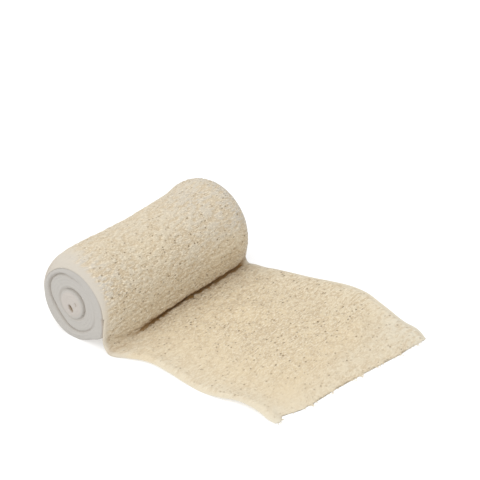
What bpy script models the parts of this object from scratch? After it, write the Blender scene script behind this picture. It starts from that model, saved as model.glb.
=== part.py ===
"""A crepe bandage, partly unrolled: the wound roll and its loose end on the surface.

Lengths below are in millimetres. "along" runs on the roll's axis, from the face at its near end (0) to its far
end. "out" runs level from the axis towards the cut end of the loose end, and "up" from the surface. An angle on the
roll starts at its front, level with the axis, and turns up over the top.
"""

import math

import bpy
import numpy as np

MM = 0.001

# The cloth.
CLOTH_WIDTH = 75.0
CLOTH_THICK = 1.2
GAP = 0.3  # left between the last turn and the turn under it
TURN_STEP = CLOTH_THICK + GAP  # how far the wound form steps in below the place where the last turn leaves it
STEP_DONE_AT = 300.0  # degrees round the roll by which that step has been taken up

# The roll, as wide as the cloth.
FLAT_DEPTH = 0.25  # how far the flat spot is cut into the round
SEGMENTS = 64
SEAM_WEDGE = 1.0  # degrees over which the wound form steps in
SEAM_GAP = 0.5  # from there to the upper edge of the loose end
ROLL_COLUMNS = ("along", "radius")
ROLL_SECTIONS = [
    (0.0, 16.0),
    (5.0, 16.6),
    (12.0, 16.9),
    (24.0, 16.7),
    (40.0, 16.8),
    (50.0, 17.1),
    (60.0, 17.4),
    (68.0, 18.1),
    (72.0, 17.8),
    (75.0, 17.3),
]
SECTION_STEP = 4.0  # spacing of the sections between the shoulders
SHOULDER_STEPS = 4
NEAR_SHOULDER = {"length": 5.0, "depth": 1.2, "at_front": 0.25}
FAR_SHOULDER = {"length": 6.0, "depth": 3.2, "at_front": 0.75}
SHOULDER_FULL_AT = 50.0  # degrees past the front, where only a share of a shoulder's depth is left

# At the near end the turn under the last one sags forward and fills the corner behind the hanging cloth.
SAG_LENGTH = 8.0
SAG_COLUMNS = ("angle", "extra")
SAG = [
    (294.0, 0.0),
    (306.0, 0.35),
    (314.0, 0.9),
    (321.0, 1.7),
    (327.0, 2.25),
    (333.0, 1.65),
    (342.0, 0.9),
    (352.0, 0.15),
    (360.0, 0.0),
]

# The wound faces, as nested rings: a ring's size is a share of the face's own radius or millimetres, its centre is
# moved out and up, and its depth is how far it is sunk along the axis. A groove's depth is only full on one side.
FACE_EDGE = {"inset": 0.7, "depth": -0.25}
INNER_TURNS = {"outer": 0.79, "inner": 0.74, "depth": 1.0, "middle_angle": 225.0, "half_angle": 130.0}
CORE_HOLE = {"radius": 6.2, "depth": 3.5, "wall_slope": 0.12}
CORE_BUNDLE = {"radius": 5.2, "out": -0.7, "up": -0.45, "depth": 0.3}
CORE_SLIT = {"half_length": 1.5, "half_width": 0.45, "turn": 118.0, "depth": 2.5, "up": -1.6}
FAR_FACE_CORE_RADIUS = 5.0
FAR_FACE_CORE_DEPTH = 1.5

# Where the last turn leaves the roll, how far it tucks in under it and how it folds out onto the surface.
LEAVE_COLUMNS = ("along", "leaves_at", "tuck", "fold_radius")
LEAVES_ROLL = [
    (0.0, 6.0, 6.0, 3.8),
    (8.0, 4.0, 10.0, 3.0),
    (15.0, 1.5, 24.0, 1.9),
    (20.0, 1.5, 42.0, 1.2),
    (27.0, 3.5, 54.0, 0.9),
    (40.0, 10.0, 56.0, 0.85),
    (56.0, 13.0, 56.0, 0.85),
    (64.0, 18.0, 55.0, 0.9),
    (70.0, 21.0, 50.0, 1.1),
    (73.0, 20.0, 36.0, 2.0),
    (75.0, 14.0, 20.0, 3.2),
]
BELLY_RADIUS = 3.0  # of the bend above the fold, in which the cloth tucks in

# The loose end's outline on the surface: where its two selvedges lie along the axis.
EDGE_COLUMNS = ("out", "near", "far")
LOOSE_EDGES = [
    (14.0, -0.3, 77.5),
    (18.5, -0.8, 79.5),
    (24.0, 1.1, 81.5),
    (29.0, 3.3, 82.5),
    (41.0, 3.6, 84.0),
    (48.0, 2.9, 85.0),
    (58.0, 2.7, 86.0),
    (64.0, 3.6, 85.7),
    (69.0, 5.1, 84.6),
    (75.0, 5.4, 83.4),
    (79.0, 5.2, 82.4),
    (83.0, 4.4, 81.6),
    (88.0, 4.6, 81.2),
    (94.0, 5.0, 78.5),
]
CUT_COLUMNS = ("share", "out")
CUT_END = [
    (0.000, 85.0),
    (0.025, 86.2),
    (0.075, 85.0),
    (0.150, 87.2),
    (0.250, 87.9),
    (0.450, 89.3),
    (0.650, 91.1),
    (0.800, 92.5),
    (0.930, 93.5),
    (1.000, 94.0),
]

# Soft folds that lift the loose end off the surface. Each lies at (along, out), runs "length" in the direction
# "turn" (degrees from the axis towards the cut end), is "width" across and stands "height" high.
FOLD_COLUMNS = ("along", "out", "length", "width", "turn", "height")
FOLDS = [
    (2.0, 35.0, 15.0, 5.0, 90.0, 1.1),
    (4.0, 72.0, 11.0, 6.0, 80.0, 1.7),
    (88.0, 60.0, 24.0, 10.0, 84.0, 3.4),
    (50.0, 35.0, 13.0, 4.5, 40.0, 1.3),
    (66.0, 74.0, 13.0, 4.0, 150.0, 0.9),
    (30.0, 60.0, 18.0, 9.0, 25.0, 0.7),
    (45.0, 79.0, 14.0, 6.0, 160.0, 0.6),
]
FOLD_FLOOR = 0.12  # a fold's tail lower than this lies flat

# How finely the loose end is divided.
COLUMNS_ACROSS = 27
EDGE_CROWDING = 0.6  # how far the columns crowd towards the selvedges
HANGING_ROWS = 18
FLOOR_ROWS = 27
TRACE_STEPS = 40  # points on each arc before its rows are spaced out
ROW_PER_TURN = 6.0  # a radian of bend counts as this many millimetres when rows are spaced

CREAM = (0.76, 0.66, 0.50, 1.0)
ROUGHNESS = 0.92


def table(columns, rows):
    """Give a table's columns as arrays, by name."""
    return dict(zip(columns, np.array(rows, dtype=float).T))


def smooth(t):
    """Ease from 0 to 1."""
    t = np.clip(t, 0.0, 1.0)
    return t * t * (3.0 - 2.0 * t)


def curve(at, xs, ys):
    """Read a smooth curve through (xs, ys): a cubic whose slope at each point is the mean of its neighbours'."""
    slopes = np.gradient(ys, xs)
    at = np.clip(at, xs[0], xs[-1])
    i = np.clip(np.searchsorted(xs, at, side="right") - 1, 0, len(xs) - 2)
    span = xs[i + 1] - xs[i]
    t = (at - xs[i]) / span
    start = (1 + 2 * t) * (1 - t) ** 2 * ys[i] + t * (1 - t) ** 2 * span * slopes[i]
    end = t * t * (3 - 2 * t) * ys[i + 1] + t * t * (t - 1) * span * slopes[i + 1]
    return start + end


def line_radius(along):
    """Radius of the last turn before its shoulders are rounded."""
    sections = table(ROLL_COLUMNS, ROLL_SECTIONS)
    return curve(along, sections["along"], sections["radius"])


def axis_height(along):
    """Height of the roll's centre, so that the turn under it is cut by the flat spot."""
    under = TURN_STEP * min(1.0, 270.0 / STEP_DONE_AT)
    return line_radius(along) - under - FLAT_DEPTH


def shoulder(along, end, shape):
    """How far a shoulder is drawn in: a quarter ellipse that reaches its depth at the end."""
    share = np.clip(1.0 - abs(along - end) / shape["length"], 0.0, 1.0)
    return shape["depth"] * (1.0 - np.sqrt(1.0 - share**2))


def front_radius(along):
    """Radius at the front, where the last turn leaves: its shoulders are rounded less there."""
    near = shoulder(along, 0.0, NEAR_SHOULDER) * NEAR_SHOULDER["at_front"]
    far = shoulder(along, CLOTH_WIDTH, FAR_SHOULDER) * FAR_SHOULDER["at_front"]
    return line_radius(along) - near - far


def centre_height(along):
    """Height of the wound form's centre: at the near end it settles as far as the shoulder is drawn in."""
    return axis_height(along) - shoulder(along, 0.0, NEAR_SHOULDER)


def roll_angles():
    """Angles round the wound form, closed by the narrow wedge in which it steps in."""
    return np.radians(np.linspace(0.0, 360.0 - SEAM_WEDGE, SEGMENTS))


def sag(along, angles):
    """How far the turn under the last one bulges at the near end's lower front."""
    extra = table(SAG_COLUMNS, SAG)
    return curve(np.degrees(angles), extra["angle"], extra["extra"]) * smooth(1.0 - along / SAG_LENGTH)


def roll_section(along):
    """One section of the wound form as (out, up): a spiral turn, its shoulder drawn in, flat where it rests."""
    angles = roll_angles()
    near = shoulder(along, 0.0, NEAR_SHOULDER)
    far = shoulder(along, CLOTH_WIDTH, FAR_SHOULDER)
    rounding = smooth(angles / math.radians(SHOULDER_FULL_AT))
    turned = np.clip(angles / math.radians(STEP_DONE_AT), 0.0, 1.0)
    radius = front_radius(along) * (1.0 - rounding) + (line_radius(along) - near - far) * rounding
    radius += sag(along, angles) - TURN_STEP * turned
    out = radius * np.cos(angles)
    up = np.maximum(centre_height(along) + radius * np.sin(angles), 0.0)
    return out, up


def section_places():
    """Where the sections lie along the axis: close together on the shoulders."""
    eased = 1.0 - np.cos(np.linspace(0.0, math.pi / 2, SHOULDER_STEPS + 1))
    near = NEAR_SHOULDER["length"] * eased
    far = CLOTH_WIDTH - FAR_SHOULDER["length"] * eased[::-1]
    body = np.arange(near[-1] + SECTION_STEP, far[0] - SECTION_STEP / 2, SECTION_STEP)
    return np.concatenate([near, body, far])


def ring(radius, out=0.0, up=0.0, depth=0.0):
    """A round ring on a face, as (out, up, depth) about the face's centre."""
    angles = roll_angles()
    return out + radius * np.cos(angles), up + radius * np.sin(angles), depth + 0.0 * angles


def slit_ring(grow, depth):
    """A narrow ellipse on a face, tilted, for the slit in the wound core."""
    angles = roll_angles()
    turn = math.radians(CORE_SLIT["turn"])
    length = (CORE_SLIT["half_length"] + grow) * np.cos(angles - turn)
    width = (CORE_SLIT["half_width"] + grow) * np.sin(angles - turn)
    out = CORE_BUNDLE["out"] + length * math.cos(turn) - width * math.sin(turn)
    up = CORE_BUNDLE["up"] + CORE_SLIT["up"] + length * math.sin(turn) + width * math.cos(turn)
    return out, up, depth + 0.0 * angles


def inner_turns_depth():
    """Depth of the groove between the inner turns, full on one side and gone on the other."""
    angles = np.degrees(roll_angles())
    away = np.abs((angles - INNER_TURNS["middle_angle"] + 180.0) % 360.0 - 180.0)
    return INNER_TURNS["depth"] * smooth(1.5 * (1.0 - away / INNER_TURNS["half_angle"]))


def near_face_rings(face_radius):
    """The near face from its edge to its middle: inner turns, the open core and the bundle in it."""
    groove = inner_turns_depth()
    middle_groove = (INNER_TURNS["outer"] + INNER_TURNS["inner"]) / 2
    slope = CORE_HOLE["wall_slope"]
    bundle = {"out": CORE_BUNDLE["out"], "up": CORE_BUNDLE["up"]}
    bottom = CORE_HOLE["depth"]
    return [
        ring(face_radius - FACE_EDGE["inset"], depth=FACE_EDGE["depth"]),
        ring(face_radius * INNER_TURNS["outer"]),
        ring(face_radius * middle_groove, depth=groove),
        ring(face_radius * INNER_TURNS["inner"]),
        ring(CORE_HOLE["radius"] + slope),
        ring(CORE_HOLE["radius"], depth=bottom),
        ring(CORE_BUNDLE["radius"], depth=bottom, **bundle),
        ring(CORE_BUNDLE["radius"] - slope, depth=CORE_BUNDLE["depth"], **bundle),
        slit_ring(0.3, CORE_BUNDLE["depth"]),
        slit_ring(0.0, CORE_BUNDLE["depth"] + CORE_SLIT["depth"]),
    ]


def far_face_rings(face_radius):
    """The far face from its edge to its middle, with the end of the wound core a little sunk."""
    core = FAR_FACE_CORE_RADIUS
    return [
        ring(face_radius - FACE_EDGE["inset"], depth=FACE_EDGE["depth"]),
        ring(face_radius * INNER_TURNS["inner"]),
        ring(core + CORE_HOLE["wall_slope"]),
        ring(core, depth=FAR_FACE_CORE_DEPTH),
    ]


def face_points(rings, end_along, inward, centre_up):
    """Place a face's rings in space; inward is +1 where sinking runs towards a larger "along"."""
    placed = []
    for out, up, depth in rings:
        placed.append(np.stack([end_along + inward * depth, -out, np.maximum(centre_up + up, 0.0)], axis=1))
    return placed


def build_wound_roll():
    """The wound form as one closed skin: near face, turns from end to end, far face."""
    rings = []
    places = section_places()
    for along in places:
        out, up = roll_section(along)
        rings.append(np.stack([np.full(SEGMENTS, along), -out, up], axis=1))
    half_step = TURN_STEP / 2
    near_radius = line_radius(0.0) - NEAR_SHOULDER["depth"] - half_step - CLOTH_THICK / 2
    far_radius = line_radius(CLOTH_WIDTH) - FAR_SHOULDER["depth"] - half_step - CLOTH_THICK / 2
    near = face_points(near_face_rings(near_radius), 0.0, 1.0, centre_height(0.0))
    far = face_points(far_face_rings(far_radius), CLOTH_WIDTH, -1.0, centre_height(CLOTH_WIDTH))
    rings = near[::-1] + rings + far
    points = np.concatenate(rings)
    faces = []
    for i in range(len(rings) - 1):
        for j in range(SEGMENTS):
            k = (j + 1) % SEGMENTS
            faces.append((i * SEGMENTS + j, (i + 1) * SEGMENTS + j, (i + 1) * SEGMENTS + k, i * SEGMENTS + k))
    last = (len(rings) - 1) * SEGMENTS
    faces.append(tuple(range(SEGMENTS)))
    faces.append(tuple(range(last + SEGMENTS - 1, last - 1, -1)))
    return points, faces


def fold_lift(along, out):
    """Height of the folds at points of the surface: each a round-topped ridge, its tail cut to lie flat."""
    lift = np.zeros_like(along)
    for row in FOLDS:
        fold = dict(zip(FOLD_COLUMNS, row))
        turn = math.radians(fold["turn"])
        dx = along - fold["along"]
        dy = out - fold["out"]
        run = (dx * math.cos(turn) + dy * math.sin(turn)) / fold["length"]
        across = (dy * math.cos(turn) - dx * math.sin(turn)) / fold["width"]
        lift = np.maximum(lift, fold["height"] * np.exp(-(run**2) - across**2))
    return np.maximum(lift - FOLD_FLOOR, 0.0)


def spaced_out(out, up, heading, rows):
    """Pick points on a traced line, closer together where it bends."""
    length = np.hypot(np.diff(out), np.diff(up)) + ROW_PER_TURN * np.abs(np.diff(heading))
    run = np.concatenate([[0.0], np.cumsum(length)])
    picks = np.linspace(0.0, run[-1], rows)
    return np.interp(picks, run, out), np.interp(picks, run, up)


def hang_column(share):
    """One lengthwise line of the loose end's middle surface, down the roll and round the fold, as (out, up).

    It hugs the roll to the angle where it leaves it, drops straight, tucks in on a round belly and turns out to the
    level on a fold.
    """
    leaves = table(LEAVE_COLUMNS, LEAVES_ROLL)
    along = share * CLOTH_WIDTH
    hug = front_radius(along) - CLOTH_THICK / 2
    centre_up = centre_height(along)
    start = math.radians(SEAM_WEDGE) + SEAM_GAP / hug
    leave = max(math.radians(curve(along, leaves["along"], leaves["leaves_at"])), start)
    tuck = max(math.radians(curve(along, leaves["along"], leaves["tuck"])), leave)
    down = np.linspace(start, leave, TRACE_STEPS)
    hug_out = hug * np.cos(down)
    hug_up = centre_up - hug * np.sin(down)
    room = hug_up[-1] - CLOTH_THICK / 2 - BELLY_RADIUS * (math.sin(tuck) - math.sin(leave))
    bend = min(curve(along, leaves["along"], leaves["fold_radius"]), room / (1.0 + math.sin(tuck)))
    drop = (room - bend * (1.0 + math.sin(tuck))) / math.cos(leave)
    tucking = np.linspace(leave, tuck, TRACE_STEPS)
    belly_out = hug_out[-1] - drop * math.sin(leave) - BELLY_RADIUS * (math.cos(leave) - np.cos(tucking))
    belly_up = hug_up[-1] - drop * math.cos(leave) - BELLY_RADIUS * (np.sin(tucking) - math.sin(leave))
    turned = np.linspace(-tuck, math.pi / 2, TRACE_STEPS)
    round_out = belly_out[-1] + bend * (math.cos(tuck) - np.cos(turned))
    round_up = CLOTH_THICK / 2 + bend * (1.0 - np.sin(turned))
    out = np.concatenate([hug_out, belly_out, round_out])
    up = np.concatenate([hug_up, belly_up, round_up])
    heading = np.concatenate([down, tucking, -turned])
    return spaced_out(out, up, heading, HANGING_ROWS)


def column_shares():
    """Places of the columns across the cloth, from 0 to 1, crowded towards both selvedges."""
    even = np.linspace(0.0, 1.0, COLUMNS_ACROSS)
    return even + EDGE_CROWDING * (smooth(even) - even)


def loose_middle():
    """The loose end's middle surface as a grid of points, rows from the roll to the cut end."""
    edges = table(EDGE_COLUMNS, LOOSE_EDGES)
    cut = table(CUT_COLUMNS, CUT_END)
    grid = []
    for share in column_shares():
        out, up = hang_column(share)
        hanging = len(out)
        floor_share = np.linspace(0.0, 1.0, FLOOR_ROWS + 1)[1:]
        cut_out = np.interp(share, cut["share"], cut["out"])
        out = np.concatenate([out, out[-1] + floor_share * (cut_out - out[-1])])
        up = np.concatenate([up, np.full(FLOOR_ROWS, CLOTH_THICK / 2)])
        near = curve(out, edges["out"], edges["near"])
        far = curve(out, edges["out"], edges["far"])
        spread = near + share * (far - near)
        high = np.maximum(up[:hanging] - CLOTH_THICK / 2, 0.0) / axis_height(share * CLOTH_WIDTH)
        along = spread.copy()
        along[:hanging] += smooth(high) * (share * CLOTH_WIDTH - spread[:hanging])
        lift = fold_lift(along, out) * smooth((out - out[hanging - 1]) / (4.0 * CLOTH_THICK))
        lift[:hanging] = 0.0
        grid.append(np.stack([along, -out, up + lift], axis=1))
    return np.stack(grid, axis=1)


def build_loose_end():
    """The loose end as one closed sheet of even thickness about its middle surface."""
    middle = loose_middle()
    rows, columns = middle.shape[:2]
    normal = np.cross(np.gradient(middle, axis=0), np.gradient(middle, axis=1))
    normal /= np.linalg.norm(normal, axis=2, keepdims=True)
    upper = middle + normal * CLOTH_THICK / 2
    lower = middle - normal * CLOTH_THICK / 2
    lower[..., 2] = np.maximum(lower[..., 2], 0.0)
    points = np.concatenate([upper.reshape(-1, 3), lower.reshape(-1, 3)])
    count = rows * columns
    faces = []
    for i in range(rows - 1):
        for j in range(columns - 1):
            a = i * columns + j
            quad = (a, a + columns, a + columns + 1, a + 1)
            faces.append(quad)
            faces.append(tuple(count + v for v in reversed(quad)))
    rim = list(range(columns))
    rim += [i * columns + columns - 1 for i in range(1, rows)]
    rim += [(rows - 1) * columns + j for j in range(columns - 2, -1, -1)]
    rim += [i * columns for i in range(rows - 2, 0, -1)]
    for a, b in zip(rim, rim[1:] + rim[:1]):
        faces.append((a, b, count + b, count + a))
    return points, faces


def cloth_material(name):
    """Undyed cotton: pale, fully rough."""
    material = bpy.data.materials.new(name)
    material.use_nodes = True
    shader = material.node_tree.nodes["Principled BSDF"]
    shader.inputs["Base Color"].default_value = CREAM
    shader.inputs["Roughness"].default_value = ROUGHNESS
    shader.inputs["Metallic"].default_value = 0.0
    return material


def add_piece(name, points, faces, origin):
    """Make one named object, its mesh in metres about the roll's own corner."""
    mesh = bpy.data.meshes.new(name)
    mesh.from_pydata([tuple(p) for p in points * MM], [], faces)
    mesh.validate()
    mesh.shade_smooth()
    mesh.set_sharp_from_angle(angle=math.radians(40.0))
    mesh.materials.append(cloth_material(name + "_cotton"))
    piece = bpy.data.objects.new(name, mesh)
    piece.location = -origin * MM
    bpy.context.scene.collection.objects.link(piece)
    return piece


def clear_scene():
    """Remove whatever the scene holds."""
    for leftover in list(bpy.data.objects):
        bpy.data.objects.remove(leftover, do_unlink=True)


def main():
    clear_scene()
    roll_points, roll_faces = build_wound_roll()
    sheet_points, sheet_faces = build_loose_end()
    everything = np.concatenate([roll_points, sheet_points])
    low = everything.min(axis=0)
    high = everything.max(axis=0)
    origin = np.array([(low[0] + high[0]) / 2, (low[1] + high[1]) / 2, 0.0])
    add_piece("wound_roll", roll_points, roll_faces, origin)
    add_piece("loose_end", sheet_points, sheet_faces, origin)


main()
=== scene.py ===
"""Dress the crepe bandage: its wound roll, its loose end, the threads of the cut end and the stage.

Lengths in this file are in millimetres until a mesh is made. "along" runs on the roll's axis from its near
face, "out" runs level from the axis towards the cut end, and "up" from the surface. An angle on the roll
starts at its front, level with the axis, and turns up over the top. "across" and "down" are places on the
cloth itself: across its width from the near selvedge, and down its length from the line where the last turn
leaves the front of the roll, so that down is below zero on the roll.
"""

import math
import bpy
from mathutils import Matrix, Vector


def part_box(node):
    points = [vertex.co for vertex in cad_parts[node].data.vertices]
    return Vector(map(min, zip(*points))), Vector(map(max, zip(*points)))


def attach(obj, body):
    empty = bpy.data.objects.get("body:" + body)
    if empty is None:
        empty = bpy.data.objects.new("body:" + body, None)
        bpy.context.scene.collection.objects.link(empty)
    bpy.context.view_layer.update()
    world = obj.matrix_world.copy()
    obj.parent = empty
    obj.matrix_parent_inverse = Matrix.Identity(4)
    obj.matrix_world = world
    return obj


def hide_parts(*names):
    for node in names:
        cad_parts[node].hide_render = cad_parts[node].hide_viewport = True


bl_info = {
    "name": "Crepe Bandage Roll",
    "version": (1, 0, 0),
    "blender": (4, 5, 0),
    "location": "View3D > Sidebar > Bandage",
    "description": "Builds a partly unrolled crepe bandage, its cloth and a plain stage",
    "category": "Object",
}

import bmesh
import bpy
import numpy as np
from bpy.props import FloatProperty, FloatVectorProperty, IntProperty, PointerProperty

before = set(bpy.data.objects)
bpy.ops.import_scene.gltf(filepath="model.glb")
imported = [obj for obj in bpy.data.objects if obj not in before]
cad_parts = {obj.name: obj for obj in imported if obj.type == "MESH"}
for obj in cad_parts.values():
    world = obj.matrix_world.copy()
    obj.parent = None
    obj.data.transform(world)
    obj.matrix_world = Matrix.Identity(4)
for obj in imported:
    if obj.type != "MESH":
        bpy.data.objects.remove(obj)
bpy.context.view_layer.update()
MM = 0.001

# The cloth and the roll, as in the solids. The roll rests on a flat spot at its flat angle.
CLOTH_WIDTH = 75.0
CLOTH_THICK = 1.2
HALF_THICK = CLOTH_THICK / 2
TURN_STEP = 1.5
STEP_DONE_AT = 300.0
FLAT_ANGLE = 270.0
FLAT_DEPTH = 0.25
LAST_ANGLE = 359.0
ROLL_SECTIONS = [
    ("along", "radius"),
    (0.0, 16.0),
    (5.0, 16.6),
    (12.0, 16.9),
    (24.0, 16.7),
    (40.0, 16.8),
    (50.0, 17.1),
    (60.0, 17.4),
    (68.0, 18.1),
    (72.0, 17.8),
    (75.0, 17.3),
]
NEAR_SHOULDER = {"length": 5.0, "depth": 1.2, "at_front": 0.25}
FAR_SHOULDER = {"length": 6.0, "depth": 3.2, "at_front": 0.75}
SHOULDER_FULL_AT = 50.0

# At the near end the turn under the last one sags forward and fills the corner behind the hanging cloth.
SAG_LENGTH = 8.0
SAG = [
    ("angle", "extra"),
    (294.0, 0.0),
    (306.0, 0.35),
    (314.0, 0.9),
    (321.0, 1.7),
    (327.0, 2.25),
    (333.0, 1.9),
    (342.0, 1.25),
    (352.0, 0.5),
    (360.0, 0.4),
]

# How far the solids' near face stands proud of the roll's corner, and their cut end past its last place.
NEAR_FACE_PROUD = 0.25
CUT_END_PAST = 0.016

# The near face. A groove runs between the inner turns and the outer ones, and is only deep on one side.
FACE_GROOVE = [
    ("angle", "radius", "strength"),
    (0.0, 10.9, 0.10),
    (60.0, 10.5, 0.12),
    (92.0, 10.6, 0.45),
    (107.0, 11.2, 0.60),
    (132.0, 11.7, 0.80),
    (153.0, 11.8, 0.90),
    (175.0, 10.8, 1.00),
    (195.0, 9.5, 1.00),
    (227.0, 8.9, 1.00),
    (260.0, 9.7, 0.90),
    (278.0, 10.2, 0.70),
    (309.0, 10.4, 0.55),
    (332.0, 10.8, 0.30),
    (360.0, 10.9, 0.10),
]
GROOVE_WIDTH = 0.36
GROOVE_DEPTH = 0.9
BAND_RISE = 0.45
CORE_HOLE = {"radius": 6.2, "out": 0.15, "up": 0.3, "depth": 1.5, "soft": 1.1}
CORE_BUNDLE = {"radius": 5.1, "out": -0.7, "up": -0.3, "crown": 0.3, "soft": 2.0}
CORE_SEAM = {"depth": 0.22, "width": 0.3}
CORE_SLIT = {"half_length": 1.35, "half_width": 0.75, "turn": 125.0, "depth": 1.3, "out": -0.8, "up": -1.85}
CORE_NICK = {"half_length": 0.8, "half_width": 0.22, "turn": 100.0, "depth": 0.4, "out": 1.7, "up": 0.5}
SLIT_EDGE = {"reach": 1.3, "sharpness": 1.6}
NEAR_TURNS = {"least": 0.01, "varies": 0.07}
NEAR_BUMPS = 0.12
# Painted shade in the groove, the crescent, the slits and the seam, and along the front of the rim.
NEAR_PAINTED_SHADE = {"groove": 0.25, "crescent": 0.2, "slit": 1.1, "nick": 0.5, "seam": 0.12, "rim": 0.25}
NEAR_FACE_LEVELS = 0.8

# The far face, and what both faces have: the pitch of their turns, and rims, given by their widths.
FAR_TURNS = 0.1
FAR_BUMPS = 0.15
FAR_CORE_DEPTH = 1.5
# Painted shade between the far face's turns and on its sunken core.
FAR_PAINTED_SHADE = {"turns": 0.12, "core": 0.15}
TURN_PITCH = 1.25
NEAR_RIM = {"front": 0.75, "at_step": 0.55, "behind": 0.3, "thins": 0.25, "proud": 0.2, "grey": 0.9}
FAR_RIM = {"round": 1.2, "at_step": 1.2, "last": 0.1}
RIM_BEND = {"start": 0.05, "sweep": 0.85}
BACK_EDGE_GREY = 0.6

# Where the last turn leaves the roll, and how it folds out onto the surface.
LEAVES_ROLL = [
    ("along", "leaves_at", "tuck", "fold_radius"),
    (0.0, 6.0, 6.0, 3.8),
    (8.0, 4.0, 10.0, 3.0),
    (15.0, 1.5, 24.0, 1.9),
    (20.0, 1.5, 42.0, 1.2),
    (27.0, 3.5, 54.0, 0.9),
    (40.0, 10.0, 56.0, 0.85),
    (56.0, 13.0, 56.0, 0.85),
    (64.0, 18.0, 55.0, 0.9),
    (70.0, 21.0, 50.0, 1.1),
    (73.0, 20.0, 36.0, 2.0),
    (75.0, 14.0, 20.0, 3.2),
]
BELLY_RADIUS = 3.0
AXIS_BELOW_RADIUS = 1.6

# The loose end's outline on the surface.
LOOSE_EDGES = [
    ("out", "near", "far"),
    (14.0, -0.3, 77.5),
    (18.5, -0.8, 79.5),
    (24.0, 1.1, 81.5),
    (29.0, 3.3, 82.5),
    (41.0, 3.6, 84.0),
    (48.0, 2.9, 85.0),
    (58.0, 2.7, 86.0),
    (64.0, 3.6, 85.7),
    (69.0, 5.1, 84.6),
    (75.0, 5.4, 83.4),
    (79.0, 5.2, 82.4),
    (83.0, 4.4, 81.6),
    (88.0, 4.6, 81.2),
    (94.0, 5.0, 78.5),
]
CUT_END = [
    ("share", "out"),
    (0.000, 85.0),
    (0.025, 86.2),
    (0.075, 85.0),
    (0.150, 87.2),
    (0.250, 87.9),
    (0.450, 89.3),
    (0.650, 91.1),
    (0.800, 92.5),
    (0.930, 93.5),
    (1.000, 94.0),
]
CUT_RAG = {"wander": 0.6, "rag": 0.8, "mean": 0.7}
CUT_TAPER = {"length": 3.5, "least": 0.12, "power": 0.8}
EDGE_THINS = 0.65

# Folds of the loose end: the large ones of the solid, then four small ripples that the solid leaves out.
FOLDS = [
    ("along", "out", "length", "width", "turn", "height"),
    (2.0, 35.0, 15.0, 5.0, 90.0, 1.1),
    (4.0, 72.0, 11.0, 6.0, 80.0, 1.7),
    (88.0, 60.0, 24.0, 10.0, 84.0, 3.4),
    (50.0, 35.0, 13.0, 4.5, 40.0, 1.3),
    (66.0, 74.0, 13.0, 4.0, 150.0, 0.9),
    (30.0, 60.0, 18.0, 9.0, 25.0, 0.7),
    (45.0, 79.0, 14.0, 6.0, 160.0, 0.6),
    (70.0, 64.0, 7.0, 1.3, 20.0, 0.55),
    (73.0, 68.0, 7.0, 1.3, 24.0, 0.55),
    (64.0, 60.0, 6.0, 1.2, 28.0, 0.5),
    (47.0, 31.0, 6.0, 1.5, 15.0, 0.9),
]
FOLD_FLOOR = 0.12

# Painted shade at the crease of the fold: a dark band and its margin, with the edge of a line and a soft
# painted shade about them.
CREASE_SHADE = {"margin": 0.3, "band": 2.1, "line": 0.9, "shade": 0.4, "shade_width": 2.5}
CREASE_SHADE_ENDS = {"near": 0.25, "far_fades": 0.6}
CREASE_SHADE_DEPTH = 1.5

# The crinkle, the shallow waves, and how far the crinkle is calmed and the colour washed out.
CRINKLE = {"wander": 1.6, "ribs": 0.62, "breaks": 0.38, "least": 0.65, "varies": 0.7}
WAVES = {"wide": 0.7, "narrow": 0.3, "least": 0.35, "grows": 0.65, "roll": 0.3, "laid": 0.35}
CALM = {"near_side": 0.45, "returns": 0.4, "cut_end": 0.3, "over_top": 0.9, "far_and_top": 0.22}
# Towards the roll's far end the paleness paints shade; less paleness round the near corner also paints shade
# there.
PALE = {"edge": 0.75, "corner": 0.5, "top": 0.5, "drift": 0.35, "settles": 0.8, "roll": 0.1, "far_shade": 0.4}
PALE_CUT_END = 0.4
PALE_WIDTHS = {"edge": 5.0, "laid_edge_adds": 4.0, "top": 9.0}

# Layers of noise: the size of their cells in x and y, their shift in x and y, and their seed.
NOISE = {
    "rib_wander": (7.0, 9.0, 3.3, 40.2, 5),
    "ribs": (1.9, 0.7, 11.0, 90.0, 7),
    "rib_breaks": (0.9, 0.6, 5.0, 70.0, 9),
    "crinkle_strength": (6.0, 6.0, 0.0, 30.0, 12),
    "wide_waves": (9.0, 8.0, 7.0, 50.0, 21),
    "narrow_waves": (4.0, 4.0, 0.0, 80.0, 22),
    "near_turns": (40.0, 3.0, 0.0, 0.0, 33),
    "near_bumps": (1.7, 1.7, 20.0, 20.0, 35),
    "far_bumps": (1.9, 1.9, 60.0, 60.0, 36),
    "colour_drift": (14.0, 14.0, 2.0, 60.0, 41),
    "cut_wander": (2.4, 1.0, 0.0, 0.0, 51),
    "cut_rag": (0.9, 1.0, 0.0, 0.0, 52),
    "crease_rag": (0.9, 0.9, 0.0, 40.0, 61),
}
NOISE_SIZE = 256

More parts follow.
